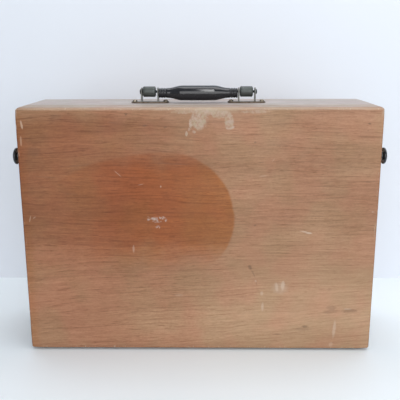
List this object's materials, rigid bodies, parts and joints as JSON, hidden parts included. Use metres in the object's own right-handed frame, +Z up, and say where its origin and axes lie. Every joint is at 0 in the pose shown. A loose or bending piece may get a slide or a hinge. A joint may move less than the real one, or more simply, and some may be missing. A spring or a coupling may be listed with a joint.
{
  "type": "art supply box",
  "caption": "Wooden artist box with a hinged lid held by two clamped folding stays, divided base and a turned carrying handle on its top edge.",
  "frame": {"origin": "on the resting plane, under the middle of the box in width and depth, standing on its hinge edge", "axes": "+X along the handle and the lid hinge, +Y from the lid side to the base side, +Z up from the hinge edge to the handle"},
  "size_m": [0.4534, 0.131, 0.3307],
  "materials": {
    "wall_wood": "worn satin varnish over reddish brown hardwood",
    "panel_wood": "worn satin varnish, long open grain, stained and rubbed at the edges",
    "divider_wood": "plain unvarnished wood, slightly soiled",
    "bracket_metal": "dull aged plating",
    "screw_brass": "dull aged brass",
    "cap_metal": "matte dark grey green",
    "rod_steel": "dull steel",
    "grip_black": "polished black moulded plastic with fine scuffs",
    "knob_black": "polished black moulded plastic",
    "hinge_brass": "dull brass with dark corners",
    "stay_brass": "brass plated strip, lightly scratched",
    "washer_brass": "dull aged brass",
    "washer_steel": "zinc plated",
    "glide_steel": "dull nickel"
  },
  "bodies": {
    "base": {"base_panel": "panel_wood", "base_wall_top": "wall_wood", "base_wall_bottom": "wall_wood", "base_wall_left": "wall_wood", "base_wall_right": "wall_wood", "divider_long": "divider_wood", "divider_cross_left": "divider_wood", "divider_cross_right": "divider_wood", "handle_bracket_left": "bracket_metal", "handle_bracket_right": "bracket_metal", "bracket_screw_1": "screw_brass", "bracket_screw_2": "screw_brass", "bracket_screw_3": "screw_brass", "bracket_screw_4": "screw_brass", "handle_rod": "rod_steel", "hinge_base_leaf_left": "hinge_brass", "hinge_base_leaf_right": "hinge_brass", "hinge_pin_left": "rod_steel", "hinge_pin_right": "rod_steel", "hinge_base_screw_1": "screw_brass", "hinge_base_screw_2": "screw_brass", "hinge_base_screw_3": "screw_brass", "hinge_base_screw_4": "screw_brass", "stay_pivot_screw_left": "stay_brass", "stay_pivot_screw_right": "stay_brass", "stay_bush_left": "stay_brass", "stay_bush_right": "stay_brass", "glide_left": "glide_steel", "glide_right": "glide_steel"},
    "lid": {"lid_panel": "panel_wood", "lid_wall_top": "wall_wood", "lid_wall_bottom": "wall_wood", "lid_wall_left": "wall_wood", "lid_wall_right": "wall_wood", "hinge_lid_leaf_left": "hinge_brass", "hinge_lid_leaf_right": "hinge_brass", "hinge_lid_screw_1": "screw_brass", "hinge_lid_screw_2": "screw_brass", "hinge_lid_screw_3": "screw_brass", "hinge_lid_screw_4": "screw_brass", "stay_washer_left": "washer_steel", "stay_washer_right": "washer_steel", "knob_washer_left": "washer_brass", "knob_washer_right": "washer_brass"},
    "handle_grip": {"handle_grip": "grip_black"},
    "handle_cap_left": {"handle_cap_left": "cap_metal"},
    "handle_cap_right": {"handle_cap_right": "cap_metal"},
    "stay_arm_left": {"stay_arm_left": "stay_brass"},
    "stay_link_left": {"stay_link_left": "stay_brass", "elbow_rivet_left": "stay_brass", "stud_nut_left": "washer_steel"},
    "knob_left": {"knob_left": "knob_black", "knob_stud_left": "washer_steel"},
    "stay_arm_right": {"stay_arm_right": "stay_brass"},
    "stay_link_right": {"stay_link_right": "stay_brass", "elbow_rivet_right": "stay_brass", "stud_nut_right": "washer_steel"},
    "knob_right": {"knob_right": "knob_black", "knob_stud_right": "washer_steel"}
  },
  "joints": [
    {"name": "lid_hinge", "type": "hinge", "parent": "base", "child": "lid", "pos_m": [0, -0.026, 0.0023], "axis": [1, 0, 0], "range_deg": [0, 110]},
    {"name": "stay_arm_left_pivot", "type": "hinge", "parent": "base", "child": "stay_arm_left", "pos_m": [-0.201, -0.014, 0.0383], "axis": [1, 0, 0], "range_deg": [0, 110]},
    {"name": "stay_link_left_pivot", "type": "hinge", "parent": "lid", "child": "stay_link_left", "pos_m": [-0.201, -0.046, 0.2489], "axis": [1, 0, 0], "range_deg": [-110, 0]},
    {"name": "stay_arm_right_pivot", "type": "hinge", "parent": "base", "child": "stay_arm_right", "pos_m": [0.201, -0.014, 0.0383], "axis": [1, 0, 0], "range_deg": [0, 110]},
    {"name": "stay_link_right_pivot", "type": "hinge", "parent": "lid", "child": "stay_link_right", "pos_m": [0.201, -0.046, 0.2489], "axis": [1, 0, 0], "range_deg": [-110, 0]},
    {"name": "knob_left_turn", "type": "hinge", "parent": "lid", "child": "knob_left", "pos_m": [-0.222, -0.046, 0.2489], "axis": [-1, 0, 0], "range_deg": [0, 540]},
    {"name": "knob_right_turn", "type": "hinge", "parent": "lid", "child": "knob_right", "pos_m": [0.222, -0.046, 0.2489], "axis": [1, 0, 0], "range_deg": [0, 540]},
    {"name": "handle_grip_spin", "type": "hinge", "parent": "base", "child": "handle_grip", "pos_m": [-0.0017, 0.003, 0.3213], "axis": [1, 0, 0], "continuous": true},
    {"name": "handle_cap_left_spin", "type": "hinge", "parent": "base", "child": "handle_cap_left", "pos_m": [-0.06375, 0.003, 0.323], "axis": [1, 0, 0], "continuous": true},
    {"name": "handle_cap_right_spin", "type": "hinge", "parent": "base", "child": "handle_cap_right", "pos_m": [0.059, 0.003, 0.323], "axis": [1, 0, 0], "continuous": true}
  ],
  "couplings": [
    {"joint": "stay_arm_left_pivot", "follows": "lid_hinge", "ratio": 1},
    {"joint": "stay_link_left_pivot", "follows": "lid_hinge", "ratio": -1},
    {"joint": "stay_arm_right_pivot", "follows": "lid_hinge", "ratio": 1},
    {"joint": "stay_link_right_pivot", "follows": "lid_hinge", "ratio": -1}
  ]
}
